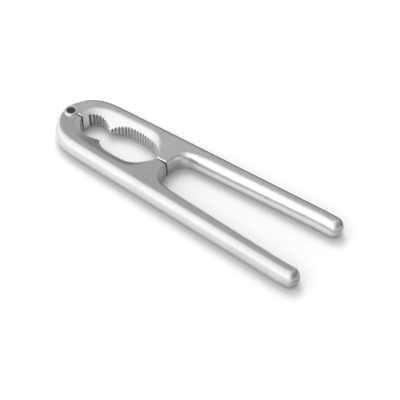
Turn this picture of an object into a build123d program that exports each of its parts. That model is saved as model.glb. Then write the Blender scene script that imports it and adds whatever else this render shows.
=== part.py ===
from build123d import *
import math
import os

# ---------------------------------------------------------------------------
# Two-lever nutcracker, cast aluminium, closed.
# Frame: origin on the pivot axis at the underside, +X from the pivot to the
# handle tips, +Y to the fork lever, +Z up along the pivot. Millimetres.
# ---------------------------------------------------------------------------

# driving dimensions
H = 12.8              # thickness of both castings
GAP = 1.00            # slot between the two castings when closed
LUG_R = 4.8           # radius of the fork lugs and of the tongue
LUG_CLEAR = 0.30      # radial clearance round the lugs and the tongue
TONGUE_T = 4.4        # thickness of the tongue
AX_CLEAR = 0.12       # face clearance between tongue and each lug
SHANK_R = 2.25        # rivet shank
BORE_CLEAR = 0.05     # radial running clearance of the tongue on the shank
HEAD_R = 4.1          # rivet head
HEAD_H = 0.80         # height of the head above the top lug
RIM_R = 0.34          # rounding of the head's rolled rim, inside and outside
DISH_R = 3.20         # radius of the hollow in the head
DISH_D = 0.85         # depth of the hollow in the head
CLINCH_T = 0.8        # depth of the countersunk clinched end
WASHER_R = 3.9        # clinch washer under the bottom lug
WASHER_T = 1.0
WEDGE_DEG = 32.0      # each shoulder is cut back this far from the -X axis
TOOTH_PITCH = 2.1     # teeth in the hollows
TOOTH_DEPTH = 0.95
SCOOP_SLOPE = 0.52    # slope of the scooped faces round the hollows
EDGE = 0.45           # broken edge along the slot

# Mid-height outline of one lever (x, y, side bulge), as the control polygon of a
# smooth closed curve: from the nose at the slot, along the inside of the handle,
# round the tip, back along the outside and round the hinge end. The bulge is how
# far the rounded side stands out from the edge of the flat top.
TIP_X, TIP_Y, TIP_R = 176.3, 22.20, 5.72      # centre and radius of the handle tip
OUT_Y0, OUT_SLOPE = 23.35, 0.0300             # outside of the handle: y at x = 22, and its slope
IN_Y0, IN_SLOPE = 12.85, 0.0500               # inside of the handle: y at x = 91, and its slope


def outline_control():
    pts = [
        (74.3, -4.5, 1.30), (74.3, -1.5, 1.30), (74.5, 1.5, 1.35), (74.95, 4.4, 1.50),
        (75.65, 7.1, 1.75), (76.8, 9.6, 2.10), (78.6, 11.4, 2.60), (81.0, 12.35, 3.20),
        (84.0, 12.65, 3.80), (87.5, 12.76, 4.40),
    ]
    for x in (92, 98, 106, 116, 127, 138, 148, 157, 164):
        pts.append((float(x), IN_Y0 + IN_SLOPE * (x - 91), 5.25))
    # the tip: a round end, its sides run in tangent
    for k, deg in enumerate((-112, -92, -68, -44, -20, 4, 28, 52, 76, 98)):
        r = TIP_R + (0.10 if k in (0, 9) else 0.0)
        a = math.radians(deg)
        pts.append((TIP_X + r * math.cos(a), TIP_Y + r * math.sin(a), 5.15))
    pts[-10] = (170.5, IN_Y0 + IN_SLOPE * 77.5, 5.2)
    pts[-1] = (171.0, OUT_Y0 + OUT_SLOPE * 149.0, 5.2)
    for x in (163, 153, 141, 127, 113, 99, 85, 71, 57, 45, 35, 27):
        pts.append((float(x), OUT_Y0 + OUT_SLOPE * (x - 22), 5.25))
    pts += [
        (20.5, 23.18, 5.25), (15.0, 22.75, 5.20), (10.4, 21.85, 5.05), (6.6, 20.45, 4.80),
        (3.4, 18.60, 4.45), (0.8, 16.30, 4.05), (-1.35, 13.70, 3.70), (-3.1, 10.95, 3.30),
        (-4.4, 8.10, 2.85), (-5.2, 5.30, 2.25), (-5.55, 2.50, 1.60), (-5.4, -0.30, 1.10),
        (-4.5, -3.20, 0.80), (-2.0, -5.60, 0.60), (3.0, -6.80, 0.45), (12.0, -7.20, 0.40),
        (26.0, -7.30, 0.40), (42.0, -7.30, 0.40), (56.0, -7.30, 0.40), (66.0, -7.20, 0.40),
        (71.5, -6.70, 0.40),
    ]
    return pts


# Outline of the scoop on the flat faces, fork side (mirrored for the other)
SCOOP = [
    (6.1, 0.0), (5.7, 3.2), (6.2, 6.6), (7.9, 9.8), (10.8, 12.6), (15.0, 14.9),
    (20.8, 16.3), (27.5, 16.9), (34.5, 17.2), (41.5, 17.5), (48.0, 17.6),
    (53.0, 17.3), (57.0, 16.1), (60.2, 13.8), (62.8, 10.6), (65.2, 6.8), (66.9, 3.2), (67.5, 0.0),
]
# How far below the flat the scooped faces are, by distance in from that outline: they
# start gently and run into the full slope
SCOOP_START = ((-2.0, -0.26), (0.0, 0.0), (0.9, 0.16), (1.8, 0.45), (2.8, 0.92))
SCOOP_AXIS = (22.5, 51.0)     # the scooped faces fall towards this stretch of the X axis

# Vertical wall of the hollows, fork side: hinge wall, small hollow, cusp, large hollow
SMALL = [(8.5, 0.0), (9.1, 2.4), (10.5, 4.9), (12.5, 6.9), (15.2, 8.15), (18.0, 8.35),
         (20.8, 7.7), (23.3, 6.5), (25.5, 5.1), (26.3, 4.6)]
LARGE = [(26.3, 4.6), (27.9, 6.5), (30.2, 8.5), (33.6, 10.3), (38.0, 11.4), (44.0, 11.65),
         (50.0, 11.3), (55.0, 10.2), (59.2, 8.3), (62.4, 5.7), (65.0, 2.9), (67.2, 0.0)]


def catmull(points, closed, n):
    """Dense points along a smooth curve through the given points."""
    out = []
    m = len(points)
    spans = m if closed else m - 1
    for i in range(spans):
        if closed:
            p = [points[(i + k - 1) % m] for k in range(4)]
        else:
            p = [points[max(0, min(m - 1, i + k - 1))] for k in range(4)]
        for j in range(n):
            t = j / n
            out.append(tuple(
                0.5 * (2 * b + (c - a) * t + (2 * a - 5 * b + 4 * c - d) * t * t
                       + (3 * b - a - 3 * c + d) * t ** 3)
                for a, b, c, d in zip(*p)))
    if not closed:
        out.append(tuple(points[-1]))
    return out


def bspline(points, per_span):
    """Points and unit right-hand normals along a closed uniform cubic B-spline."""
    out = []
    m = len(points)
    for i in range(m):
        p = [points[(i + k - 1) % m] for k in range(4)]
        for j in range(per_span):
            t = j / per_span
            w = ((1 - t) ** 3 / 6, (3 * t ** 3 - 6 * t * t + 4) / 6,
                 (-3 * t ** 3 + 3 * t * t + 3 * t + 1) / 6, t ** 3 / 6)
            d = (-(1 - t) ** 2 / 2, (3 * t * t - 4 * t) / 2,
                 (-3 * t * t + 2 * t + 1) / 2, t * t / 2)
            value = [sum(w[k] * p[k][c] for k in range(4)) for c in range(len(p[0]))]
            dx = sum(d[k] * p[k][0] for k in range(4))
            dy = sum(d[k] * p[k][1] for k in range(4))
            length = math.hypot(dx, dy)
            out.append((value, (dy / length, -dx / length)))
    return out


def section(angle, side):
    """One horizontal section of the lever blank: angle -90 is the underside, 90 the top."""
    c = math.cos(math.radians(angle))
    z = H / 2 + H / 2 * math.sin(math.radians(angle))
    pts = []
    for (x, y, bulge), (nx, ny) in bspline(outline_control(), 2):
        inset = bulge * (1 - c)
        pts.append(Vector(x - nx * inset, side * (y - ny * inset), z))
    if side < 0:
        pts.reverse()
    return Wire([Spline(*pts, periodic=True)])


def lever_blank(side):
    """The casting's outside as a loft through its sections."""
    angles = [-90, -76, -60, -42, -21, 0, 21, 42, 60, 76, 90]
    return Solid.make_loft([section(a, side) for a in angles])


def box(x0, x1, y0, y1, z0, z1):
    return Pos((x0 + x1) / 2, (y0 + y1) / 2, (z0 + z1) / 2) * Box(x1 - x0, y1 - y0, z1 - z0)


def disc(r, z0, z1):
    return Pos(0, 0, (z0 + z1) / 2) * Cylinder(r, z1 - z0)


def prism(points, z0, z1, side=1):
    points = [(x, side * y) for x, y in points]
    if side < 0:
        points.reverse()
    face = Face(Wire.make_polygon([Vector(x, y, z0) for x, y in points], close=True))
    return Solid.extrude(face, Vector(0, 0, z1 - z0))


def toothed(curve, start, stop):
    """A wall line with teeth of TOOTH_PITCH cut into it between two fractions of its length."""
    dense = catmull(curve, False, 24)
    run = [0.0]
    for a, b in zip(dense, dense[1:]):
        run.append(run[-1] + math.hypot(b[0] - a[0], b[1] - a[1]))
    total = run[-1]

    def at(s):
        s = max(0.0, min(total, s))
        k = 1
        while k < len(run) - 1 and run[k] < s:
            k += 1
        t = (s - run[k - 1]) / max(1e-9, run[k] - run[k - 1])
        a, b = dense[k - 1], dense[k]
        d = math.hypot(b[0] - a[0], b[1] - a[1])
        return (a[0] + (b[0] - a[0]) * t, a[1] + (b[1] - a[1]) * t,
                -(b[1] - a[1]) / d, (b[0] - a[0]) / d)

    s0, s1 = start * total, stop * total
    count = max(2, round((s1 - s0) / TOOTH_PITCH))
    pitch = (s1 - s0) / count
    pts = []
    s = 0.0
    while s < s0 - 0.4:
        x, y, _, _ = at(s)
        pts.append((x, y))
        s += 0.9
    # each tooth: root, rounded crest in two short chords, root
    for i in range(count):
        for frac, rise in ((0.0, 1.0), (0.20, 0.78), (0.38, 0.08), (0.62, 0.08), (0.80, 0.78)):
            x, y, nx, ny = at(s0 + (i + frac) * pitch)
            pts.append((x + nx * TOOTH_DEPTH * rise, y + ny * TOOTH_DEPTH * rise))
    x, y, nx, ny = at(s1)
    pts.append((x + nx * TOOTH_DEPTH, y + ny * TOOTH_DEPTH))
    s = s1 + 0.9
    while s < total - 0.2:
        x, y, _, _ = at(s)
        pts.append((x, y))
        s += 0.9
    pts.append(at(total)[:2])
    return pts


def hollows(side):
    """Straight-sided opening of both hollows on one side, reaching past the slot."""
    small = toothed(SMALL, 0.24, 0.97)
    large = toothed(LARGE, 0.035, 0.93)
    pts = small + large[1:]
    pts = [(SMALL[0][0], -2.0)] + pts + [(LARGE[-1][0], -2.0)]
    return prism(pts, -1, H + 1, side)


def scoop(top):
    """Cutter for the sloping faces round the hollows, on the top or the underside."""
    left = [(x, -y) for x, y in SCOOP[1:-1]]
    loop = SCOOP + left[::-1]
    base = H if top else 0.0
    way = -1 if top else 1
    sections = []
    last, deep = SCOOP_START[-1], 6.2
    profile = SCOOP_START + ((last[0] + (deep - last[1]) / SCOOP_SLOPE, deep),)
    for inset, depth in profile:
        pts = []
        for (x, y), _ in bspline(loop, 2):
            mx = min(max(x, SCOOP_AXIS[0]), SCOOP_AXIS[1])
            dx, dy = mx - x, -y
            d = math.hypot(dx, dy)
            pts.append(Vector(x + dx / d * inset, y + dy / d * inset, base + way * depth))
        sections.append(Wire([Spline(*pts, periodic=True)]))
    return Solid.make_loft(sections, ruled=True)


def sector(r0, r1, a0, a1, z0, z1, side):
    """Vertical wedge between two angles, outside radius r0."""
    steps = 8
    pts = []
    for i in range(steps + 1):
        a = math.radians(a0 + (a1 - a0) * i / steps)
        pts.append((r1 * math.cos(a), r1 * math.sin(a)))
    for i in range(steps, -1, -1):
        a = math.radians(a0 + (a1 - a0) * i / steps)
        pts.append((r0 * math.cos(a), r0 * math.sin(a)))
    return prism(pts, z0, z1, side)


def half_lever(side):
    """Casting on one side of the slot (+1 or -1), before its lugs or tongue are formed."""
    body = lever_blank(side)
    y0, y1 = sorted((side * GAP / 2, side * 60))
    body = body & box(-20, 200, y0, y1, -1, H + 1)
    body = body - hollows(side)
    body = body - scoop(True)
    body = body - scoop(False)
    body = body - sector(0.5, 30, 180 - WEDGE_DEG, 200, -1, H + 1, side)
    # broken edges along the slot, top and underside, at hinge and nose
    for z in (0.0, H):
        edge = Pos(40, side * GAP / 2, z) * (Rot(45, 0, 0) * Box(120, EDGE * math.sqrt(2), EDGE * math.sqrt(2)))
        body = body - edge
    return body


T0 = (H - TONGUE_T) / 2       # underside of the tongue
T1 = (H + TONGUE_T) / 2       # top of the tongue
CUT_R = LUG_R + LUG_CLEAR


def lug(z0, z1, break_top, break_bottom):
    body = disc(LUG_R, z0, z1)
    edges = []
    if break_top:
        edges += body.edges().filter_by(GeomType.CIRCLE).sort_by(Axis.Z)[-1:]
    if break_bottom:
        edges += body.edges().filter_by(GeomType.CIRCLE).sort_by(Axis.Z)[:1]
    return chamfer(edges, 0.3) if edges else body


# fork lever: lugs above and below, room for the tongue between them
fork = half_lever(1) - disc(CUT_R, T0 - AX_CLEAR, T1 + AX_CLEAR)
fork = fork + lug(T1 + AX_CLEAR, H, True, False) + lug(0, T0 - AX_CLEAR, False, True)
fork = fork - disc(SHANK_R, -1, H + 1)
fork = fork - disc(WASHER_R, -1, WASHER_T)

# tongue lever: the mirror casting, with room for the lugs and a tongue between them
tongue = half_lever(-1)
tongue = tongue - disc(CUT_R, T1, H + 1) - disc(CUT_R, -1, T0)
tongue = tongue + disc(LUG_R, T0, T1)
tongue = tongue - disc(SHANK_R + BORE_CLEAR, -1, H + 1)

# rivet: dished head with a rolled rim on the top lug, shank, clinched end below
DISH_SPHERE = (DISH_R ** 2 + DISH_D ** 2) / (2 * DISH_D)
head = disc(HEAD_R, H, H + HEAD_H)
head = head - Pos(0, 0, H + HEAD_H - DISH_D + DISH_SPHERE) * Sphere(DISH_SPHERE)
rim = head.edges().filter_by(GeomType.CIRCLE).filter_by(
    lambda e: abs(e.center().Z - H - HEAD_H) < 0.01)
head = fillet(rim, RIM_R)
clinch = Pos(0, 0, CLINCH_T / 2) * Cone(SHANK_R + CLINCH_T, SHANK_R, CLINCH_T)
rivet = disc(SHANK_R, 0, H - 0.2) + clinch
rivet = rivet + (disc(SHANK_R, H - 0.2, H + 0.3)
                 - Pos(0, 0, H + HEAD_H - DISH_D + DISH_SPHERE) * Sphere(DISH_SPHERE)) + head

# clinch washer in the counterbore of the bottom lug, countersunk for the rivet's end
washer = disc(WASHER_R, 0, WASHER_T) - disc(SHANK_R, -1, WASHER_T + 1)
washer = washer - clinch


def single(shape):
    """The one solid in a result, without its wrapper."""
    solids = shape.solids()
    solids = sorted(solids, key=lambda s: -s.volume)
    return solids[0]


os.makedirs("parts", exist_ok=True)
for name, shape in (("fork_lever", fork), ("tongue_lever", tongue),
                    ("pivot_rivet", rivet), ("rivet_washer", washer)):
    print(name, len(shape.solids()), round(shape.volume, 1))
    export_step(single(shape), "parts/" + name + ".step")
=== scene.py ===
import math

import bpy
from mathutils import Matrix, Vector


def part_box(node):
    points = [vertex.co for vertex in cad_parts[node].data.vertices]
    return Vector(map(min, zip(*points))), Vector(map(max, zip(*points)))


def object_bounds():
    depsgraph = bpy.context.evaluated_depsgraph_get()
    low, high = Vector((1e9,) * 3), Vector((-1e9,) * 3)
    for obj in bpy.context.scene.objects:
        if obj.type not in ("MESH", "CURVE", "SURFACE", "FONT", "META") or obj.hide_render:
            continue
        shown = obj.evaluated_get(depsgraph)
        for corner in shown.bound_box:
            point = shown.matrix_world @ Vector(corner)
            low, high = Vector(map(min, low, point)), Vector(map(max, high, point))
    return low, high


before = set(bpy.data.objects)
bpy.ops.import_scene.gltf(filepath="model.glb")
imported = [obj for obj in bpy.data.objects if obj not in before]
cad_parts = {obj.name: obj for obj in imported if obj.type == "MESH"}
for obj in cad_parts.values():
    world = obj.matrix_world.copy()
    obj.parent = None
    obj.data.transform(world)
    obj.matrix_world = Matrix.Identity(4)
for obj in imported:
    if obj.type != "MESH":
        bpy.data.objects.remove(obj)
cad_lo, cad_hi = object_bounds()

scene = bpy.context.scene
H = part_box("fork_lever")[1].z            # top flat of the castings
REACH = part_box("fork_lever")[1].x        # handle tips


# ---------------------------------------------------------------- materials
def new_material(name):
    m = bpy.data.materials.new(name)
    m.use_nodes = True
    nt = m.node_tree
    for n in list(nt.nodes):
        nt.nodes.remove(n)
    return m, nt


def node(nt, kind, **kw):
    n = nt.nodes.new(kind)
    for k, v in kw.items():
        if k.startswith("in_"):
            key = k[3:].replace("_", " ")
            n.inputs[key].default_value = v
        else:
            setattr(n, k, v)
    return n


def noise(nt, co, scale, detail=4.0, rough=0.55, distortion=0.0):
    n = node(nt, "ShaderNodeTexNoise")
    n.inputs["Scale"].default_value = scale
    n.inputs["Detail"].default_value = detail
    n.inputs["Roughness"].default_value = rough
    n.inputs["Distortion"].default_value = distortion
    nt.links.new(co, n.inputs["Vector"])
    return n.outputs["Fac"]


def remap(nt, value, a, b, c, d):
    n = node(nt, "ShaderNodeMapRange", clamp=True)
    n.inputs["From Min"].default_value = a
    n.inputs["From Max"].default_value = b
    n.inputs["To Min"].default_value = c
    n.inputs["To Max"].default_value = d
    nt.links.new(value, n.inputs["Value"])
    return n.outputs["Result"]


def math_node(nt, op, a, b=0.0):
    n = node(nt, "ShaderNodeMath", operation=op)
    for i, v in enumerate((a, b)):
        if isinstance(v, (int, float)):
            n.inputs[i].default_value = v
        else:
            nt.links.new(v, n.inputs[i])
    return n.outputs[0]


def casting_material(name, painted_light_tone):
    """Satin cast aluminium: fine blasted grain, soft hand-rubbed unevenness, edges rubbed bright, with painted shade
    on the toothed walls and an overall tone that is painted light.
    """
    m, nt = new_material(name)
    out = node(nt, "ShaderNodeOutputMaterial")
    bsdf = node(nt, "ShaderNodeBsdfPrincipled")
    nt.links.new(bsdf.outputs[0], out.inputs[0])
    bsdf.inputs["Metallic"].default_value = 1.0
    co = node(nt, "ShaderNodeTexCoord").outputs["Object"]

    grain = noise(nt, co, 5200.0, 3.0, 0.6)          # blasted grain, about 0.2 mm
    patch = noise(nt, co, 130.0, 4.0, 0.55, 0.3)     # uneven blasting, about 8 mm
    speck = noise(nt, co, 1100.0, 3.0, 0.65)         # coarser casting skin, about 1 mm
    drift = noise(nt, co, 26.0, 2.0, 0.5)            # slow drift along the handles
    edge_n = node(nt, "ShaderNodeBevel", samples=6)
    edge_n.inputs["Radius"].default_value = 0.0005
    geo = node(nt, "ShaderNodeNewGeometry")
    dot = node(nt, "ShaderNodeVectorMath", operation="DOT_PRODUCT")
    nt.links.new(edge_n.outputs[0], dot.inputs[0])
    nt.links.new(geo.outputs["Normal"], dot.inputs[1])
    worn = remap(nt, dot.outputs["Value"], 0.985, 0.90, 0.0, 1.0)

    # colour: pale grey metal, a little darker where the blast bit deeper
    ramp = node(nt, "ShaderNodeMix", data_type="RGBA")
    ramp.inputs["A"].default_value = (0.665 * painted_light_tone, 0.667 * painted_light_tone, 0.672 * painted_light_tone, 1)
    ramp.inputs["B"].default_value = (0.725 * painted_light_tone, 0.726 * painted_light_tone, 0.728 * painted_light_tone, 1)
    mixed = math_node(nt, "MULTIPLY", math_node(nt, "ADD", patch, drift), 0.5)
    nt.links.new(remap(nt, mixed, 0.35, 0.65, 0.0, 1.0), ramp.inputs["Factor"])
    bright = node(nt, "ShaderNodeMix", data_type="RGBA")
    bright.inputs["B"].default_value = (0.86, 0.86, 0.86, 1)
    nt.links.new(ramp.outputs["Result"], bright.inputs["A"])
    nt.links.new(math_node(nt, "MULTIPLY", worn, 0.8), bright.inputs["Factor"])

    # painted shade: the toothed walls in the hollows are coloured darker and duller than the blasted outside to
    # stand in for the shade they sit in, with broach-score streaks on top
    sep = node(nt, "ShaderNodeSeparateXYZ")
    nt.links.new(co, sep.inputs[0])
    nrm = node(nt, "ShaderNodeSeparateXYZ")
    nt.links.new(geo.outputs["True Normal"], nrm.inputs[0])
    upright = remap(nt, math_node(nt, "ABSOLUTE", nrm.outputs[2]), 0.30, 0.12, 0.0, 1.0)
    inside_x = math_node(nt, "MULTIPLY", remap(nt, sep.outputs[0], 0.0062, 0.0072, 0.0, 1.0),
                         remap(nt, sep.outputs[0], 0.0800, 0.0765, 0.0, 1.0))
    inside_y = remap(nt, math_node(nt, "ABSOLUTE", sep.outputs[1]), 0.0145, 0.0135, 0.0, 1.0)
    painted_shade_wall_mask = math_node(nt, "MULTIPLY", upright, math_node(nt, "MULTIPLY", inside_x, inside_y))
    broach = node(nt, "ShaderNodeVectorMath", operation="MULTIPLY")
    nt.links.new(co, broach.inputs[0])
    broach.inputs[1].default_value = (1.0, 1.0, 0.06)
    scores = noise(nt, broach.outputs[0], 2600.0, 3.0, 0.6)
    broach_scores_and_painted_shade = node(nt, "ShaderNodeMix", data_type="RGBA")
    broach_scores_and_painted_shade.inputs["A"].default_value = (0.560, 0.560, 0.565, 1)
    broach_scores_and_painted_shade.inputs["B"].default_value = (0.800, 0.800, 0.802, 1)
    nt.links.new(remap(nt, scores, 0.3, 0.7, 0.0, 1.0), broach_scores_and_painted_shade.inputs["Factor"])
    wall_painted_shade_mix = node(nt, "ShaderNodeMix", data_type="RGBA")
    nt.links.new(painted_shade_wall_mask, wall_painted_shade_mix.inputs["Factor"])
    nt.links.new(bright.outputs["Result"], wall_painted_shade_mix.inputs["A"])
    # painted shade: the wall colour is darker still towards the bridge end of the hollows
    bridge_end_painted_shade = node(nt, "ShaderNodeMix", data_type="RGBA", blend_type="MULTIPLY")
    nt.links.new(remap(nt, sep.outputs[0], 0.0665, 0.0715, 0.0, 1.0), bridge_end_painted_shade.inputs["Factor"])
    nt.links.new(broach_scores_and_painted_shade.outputs["Result"], bridge_end_painted_shade.inputs["A"])
    bridge_end_painted_shade.inputs["B"].default_value = (0.62, 0.62, 0.62, 1)
    # painted shade: the tooth roots are darkened where ambient occlusion is low, so the crests keep the lighter wall
    # colour
    cavity = node(nt, "ShaderNodeAmbientOcclusion", samples=8, only_local=True)
    cavity.inputs["Distance"].default_value = 0.0013
    tooth_root_painted_shade = node(nt, "ShaderNodeMix", data_type="RGBA", blend_type="MULTIPLY")
    nt.links.new(remap(nt, cavity.outputs["AO"], 0.92, 0.55, 0.0, 1.0), tooth_root_painted_shade.inputs["Factor"])
    nt.links.new(bridge_end_painted_shade.outputs["Result"], tooth_root_painted_shade.inputs["A"])
    tooth_root_painted_shade.inputs["B"].default_value = (0.22, 0.22, 0.22, 1)
    nt.links.new(tooth_root_painted_shade.outputs["Result"], wall_painted_shade_mix.inputs["B"])
    nt.links.new(wall_painted_shade_mix.outputs["Result"], bsdf.inputs["Base Color"])

    # roughness: satin, smoother where rubbed
    r = math_node(nt, "ADD", remap(nt, patch, 0.3, 0.7, 0.27, 0.34), remap(nt, grain, 0.3, 0.7, -0.025, 0.025))
    r = math_node(nt, "SUBTRACT", r, math_node(nt, "MULTIPLY", worn, 0.10))
    nt.links.new(r, bsdf.inputs["Roughness"])

    bump1 = node(nt, "ShaderNodeBump")
    bump1.inputs["Strength"].default_value = 0.10
    bump1.inputs["Distance"].default_value = 0.00004
    nt.links.new(grain, bump1.inputs["Height"])
    bump2 = node(nt, "ShaderNodeBump")
    bump2.inputs["Strength"].default_value = 0.25
    bump2.inputs["Distance"].default_value = 0.00008
    nt.links.new(patch, bump2.inputs["Height"])
    bump3 = node(nt, "ShaderNodeBump")
    bump3.inputs["Strength"].default_value = 0.5
    bump3.inputs["Distance"].default_value = 0.00003
    nt.links.new(speck, bump3.inputs["Height"])
    nt.links.new(bump1.outputs[0], bump3.inputs["Normal"])
    nt.links.new(bump3.outputs[0], bump2.inputs["Normal"])
    nt.links.new(bump2.outputs[0], bsdf.inputs["Normal"])
    return m


def steel_material(name, rough_lo, rough_hi, tint, dish_r=0.0):
    """Turned steel: faint lathe rings about the pivot axis over a polished ground."""
    m, nt = new_material(name)
    out = node(nt, "ShaderNodeOutputMaterial")
    bsdf = node(nt, "ShaderNodeBsdfPrincipled")
    nt.links.new(bsdf.outputs[0], out.inputs[0])
    bsdf.inputs["Metallic"].default_value = 1.0
    co = node(nt, "ShaderNodeTexCoord").outputs["Object"]
    sep = node(nt, "ShaderNodeSeparateXYZ")
    nt.links.new(co, sep.inputs[0])
    xx = math_node(nt, "MULTIPLY", sep.outputs[0], sep.outputs[0])
    yy = math_node(nt, "MULTIPLY", sep.outputs[1], sep.outputs[1])
    radius = math_node(nt, "SQRT", math_node(nt, "ADD", xx, yy))
    comb = node(nt, "ShaderNodeCombineXYZ")
    nt.links.new(radius, comb.inputs[0])
    nt.links.new(math_node(nt, "MULTIPLY", sep.outputs[2], 0.6), comb.inputs[1])
    rings = noise(nt, comb.outputs[0], 9000.0, 2.0, 0.6)
    smear = noise(nt, co, 700.0, 4.0, 0.6)
    ramp = node(nt, "ShaderNodeMix", data_type="RGBA")
    ramp.inputs["A"].default_value = (tint * 0.95, tint * 0.95, tint * 0.96, 1)
    ramp.inputs["B"].default_value = (tint, tint, tint * 1.005, 1)
    nt.links.new(remap(nt, smear, 0.35, 0.65, 0.0, 1.0), ramp.inputs["Factor"])
    color = ramp.outputs["Result"]
    if dish_r:
        # painted reflection: the hollow of the head is coloured near black to stand in for the dark reflection it
        # catches; the rolled rim stays bright
        edge = math_node(nt, "ADD", radius, math_node(nt, "MULTIPLY", smear, 0.0003))
        inside = math_node(nt, "MULTIPLY", remap(nt, edge, dish_r + 0.0002, dish_r - 0.0002, 0.0, 1.0),
                           remap(nt, sep.outputs[2], H - 0.0002, H - 0.0001, 0.0, 1.0))
        painted_dark_dish = node(nt, "ShaderNodeMix", data_type="RGBA")
        nt.links.new(inside, painted_dark_dish.inputs["Factor"])
        nt.links.new(color, painted_dark_dish.inputs["A"])
        painted_dark_dish.inputs["B"].default_value = (0.10, 0.10, 0.103, 1)
        color = painted_dark_dish.outputs["Result"]
    nt.links.new(color, bsdf.inputs["Base Color"])
    r = math_node(nt, "ADD", remap(nt, smear, 0.3, 0.7, rough_lo, rough_hi), remap(nt, rings, 0.3, 0.7, -0.02, 0.02))
    nt.links.new(r, bsdf.inputs["Roughness"])
    bump = node(nt, "ShaderNodeBump")
    bump.inputs["Strength"].default_value = 0.15
    bump.inputs["Distance"].default_value = 0.00001
    nt.links.new(rings, bump.inputs["Height"])
    nt.links.new(bump.outputs[0], bsdf.inputs["Normal"])
    return m


# painted light: both levers are the same cast alloy; the fork is coloured lighter and the tongue darker to stand in
# for the different light their top faces catch
fork_casting_painted_lighter = casting_material("satin_casting_fork_painted_lighter", 1.11)
tongue_casting_painted_darker = casting_material("satin_casting_tongue_painted_darker", 0.94)
steel = steel_material("polished_rivet_steel", 0.07, 0.14, 0.86, 0.0031)
washer_steel = steel_material("washer_steel", 0.26, 0.36, 0.66)

for name, mat in (("fork_lever", fork_casting_painted_lighter), ("tongue_lever", tongue_casting_painted_darker),
                  ("pivot_rivet", steel), ("rivet_washer", washer_steel)):
    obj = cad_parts[name]
    obj.data.materials.clear()
    obj.data.materials.append(mat)


# ---------------------------------------------------------------- floor
def floor_material():
    m, nt = new_material("studio_floor")
    out = node(nt, "ShaderNodeOutputMaterial")
    bsdf = node(nt, "ShaderNodeBsdfPrincipled")
    bsdf.inputs["Base Color"].default_value = (0.88, 0.88, 0.88, 1)
    bsdf.inputs["Emission Color"].default_value = (1, 1, 1, 1)
    bsdf.inputs["Emission Strength"].default_value = 0.09      # light table, fills the shadows a little
    bsdf.inputs["Roughness"].default_value = 0.9
    bsdf.inputs["Specular IOR Level"].default_value = 0.0
    nt.links.new(bsdf.outputs[0], out.inputs[0])
    return m


mesh = bpy.data.meshes.new("studio_floor")
s = 4.0
mesh.from_pydata([(-s, -s, 0), (s, -s, 0), (s, s, 0), (-s, s, 0)], [], [(0, 1, 2, 3)])
floor = bpy.data.objects.new("studio_floor", mesh)
scene.collection.objects.link(floor)
floor.location.z = cad_lo[2] - 0.00002
floor.data.materials.append(floor_material())


# ---------------------------------------------------------------- camera
F_PX, PITCH, AZ = 1050.0, math.radians(48.17), math.radians(36.95)
CAM = Vector((0.3462, -0.3289, H + 0.4439))
right = Vector((math.cos(AZ), math.sin(AZ), 0))
north = Vector((-math.sin(AZ), math.cos(AZ), 0))
look = north * math.cos(PITCH) - Vector((0, 0, math.sin(PITCH)))
up = right.cross(look)
cam_data = bpy.data.cameras.new("camera")
cam_data.sensor_fit = "HORIZONTAL"
cam_data.sensor_width = 36.0
cam_data.lens = F_PX / 400.0 * 36.0
cam_data.clip_start = 0.01
cam_data.clip_end = 50.0
cam = bpy.data.objects.new("camera", cam_data)
scene.collection.objects.link(cam)
rot = Matrix((right, up, -look)).transposed()
cam.matrix_world = Matrix.Translation(CAM) @ rot.to_4x4()
scene.camera = cam


# ---------------------------------------------------------------- light
def sky():
    """Studio surroundings by direction: white overhead and to the left, a grey card beyond the
    tool, a darker room to the right and low beyond it."""
    w = bpy.data.worlds.new("studio")
    scene.world = w
    w.use_nodes = True
    nt = w.node_tree
    for n in list(nt.nodes):
        nt.nodes.remove(n)
    out = node(nt, "ShaderNodeOutputWorld")
    bg = node(nt, "ShaderNodeBackground")
    nt.links.new(bg.outputs[0], out.inputs[0])
    co = node(nt, "ShaderNodeTexCoord").outputs["Generated"]

    def along(vec):
        d = node(nt, "ShaderNodeVectorMath", operation="DOT_PRODUCT")
        nt.links.new(co, d.inputs[0])
        d.inputs[1].default_value = vec.normalized()
        return d.outputs["Value"]

    def toward(e, n, z):
        return along(right * e + north * n + Vector((0, 0, z)))

    def shade(level, mask, target):
        """level moves to target where mask is 1"""
        m = node(nt, "ShaderNodeMix", data_type="FLOAT")
        nt.links.new(mask, m.inputs["Factor"])
        if isinstance(level, float):
            m.inputs["A"].default_value = level
        else:
            nt.links.new(level, m.inputs["A"])
        m.inputs["B"].default_value = target
        return m.outputs["Result"]

    level = shade(OVERHEAD, remap(nt, toward(-0.87, -0.45, 0.10), 0.35, 0.95, 0.0, 1.0), LEFT)
    level = shade(level, remap(nt, toward(0.0, 0.79, 0.61), 0.74, 0.92, 0.0, 1.0), CARD)
    level = shade(level, remap(nt, toward(0.90, -0.32, 0.20), 0.0, 0.85, 0.0, 1.0), RIGHT)
    low = math_node(nt, "MULTIPLY", remap(nt, toward(0, 0, 1), 0.30, 0.08, 0.0, 1.0),
                    remap(nt, toward(0.6, 0.8, 0), 0.35, 0.75, 0.0, 1.0))
    level = shade(level, low, HORIZON)
    comb = node(nt, "ShaderNodeCombineColor")
    for i in range(3):
        nt.links.new(level, comb.inputs[i])
    nt.links.new(comb.outputs[0], bg.inputs["Color"])
    bg.inputs["Strength"].default_value = 1.0


OVERHEAD, LEFT, CARD, RIGHT, HORIZON = 1.18, 1.50, 0.50, 0.30, 0.13
KEY = 4.6
sky()


def area(name, loc, target, size, power, glossy):
    d = bpy.data.lights.new(name, "AREA")
    d.shape = "DISK"
    d.size = size
    d.energy = power
    o = bpy.data.objects.new(name, d)
    scene.collection.objects.link(o)
    o.location = loc
    o.rotation_euler = (Vector(target) - Vector(loc)).to_track_quat("-Z", "Y").to_euler()
    o.visible_glossy = glossy
    return o


middle = Vector((0.08, 0, 0))
area("softbox", middle - right * 0.12 + north * 0.48 + Vector((0, 0, 0.95)), middle, 0.6, KEY, False)

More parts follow.
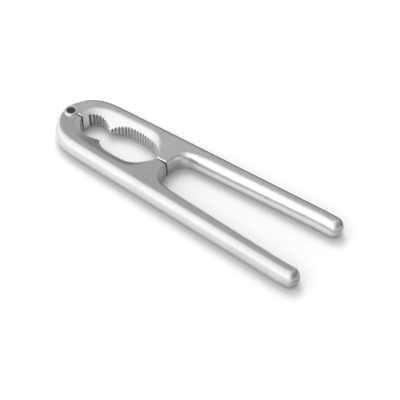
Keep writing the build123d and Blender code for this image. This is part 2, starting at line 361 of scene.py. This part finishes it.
# a black flag beyond the far side keeps that edge dark against the floor
flag_line = [(-0.017, 0.027), (-0.004, 0.037), (0.016, 0.042), (0.22, 0.048)]
fm = bpy.data.meshes.new("flag")
fm.from_pydata([(x, y, z) for z in (0.0, 0.0135) for x, y in flag_line], [],
               [(i, i + 1, i + 1 + len(flag_line), i + len(flag_line)) for i in range(len(flag_line) - 1)])
flag = bpy.data.objects.new("flag", fm)
scene.collection.objects.link(flag)
flag_mat, nt = new_material("flag_black")
fo = node(nt, "ShaderNodeOutputMaterial")
fb = node(nt, "ShaderNodeBsdfPrincipled")
fb.inputs["Base Color"].default_value = (0.10, 0.10, 0.10, 1)
fb.inputs["Roughness"].default_value = 0.95
fb.inputs["Specular IOR Level"].default_value = 0.0
nt.links.new(fb.outputs[0], fo.inputs[0])
fm.materials.append(flag_mat)

# a grey card lies past the tips, which face the darker side of the room
card_mesh = bpy.data.meshes.new("tip_card")
card_mesh.from_pydata([(0.172, -0.045, 0.0002), (0.235, -0.045, 0.0002), (0.235, 0.047, 0.0002), (0.172, 0.047, 0.0002)],
                      [], [(0, 1, 2, 3)])
tip_card = bpy.data.objects.new("tip_card", card_mesh)
scene.collection.objects.link(tip_card)
card_mat, nt = new_material("card_grey")
co_ = node(nt, "ShaderNodeOutputMaterial")
cb = node(nt, "ShaderNodeBsdfPrincipled")
cx = node(nt, "ShaderNodeSeparateXYZ")
nt.links.new(node(nt, "ShaderNodeTexCoord").outputs["Object"], cx.inputs[0])
cc = node(nt, "ShaderNodeCombineColor")
fade = remap(nt, cx.outputs[0], 0.176, 0.196, 0.85, 0.36)      # no hard edge to the card
for i in range(3):
    nt.links.new(fade, cc.inputs[i])
nt.links.new(cc.outputs[0], cb.inputs["Base Color"])
cb.inputs["Roughness"].default_value = 0.9
cb.inputs["Specular IOR Level"].default_value = 0.0
nt.links.new(cb.outputs[0], co_.inputs[0])
card_mesh.materials.append(card_mat)
for o in (flag, tip_card):
    o.visible_camera = False
    o.visible_diffuse = False
    o.visible_shadow = False

scene.cycles.caustics_reflective = False
scene.view_settings.view_transform = "Standard"
scene.view_settings.look = "None"
scene.view_settings.exposure = 0.0
scene.view_settings.gamma = 1.0
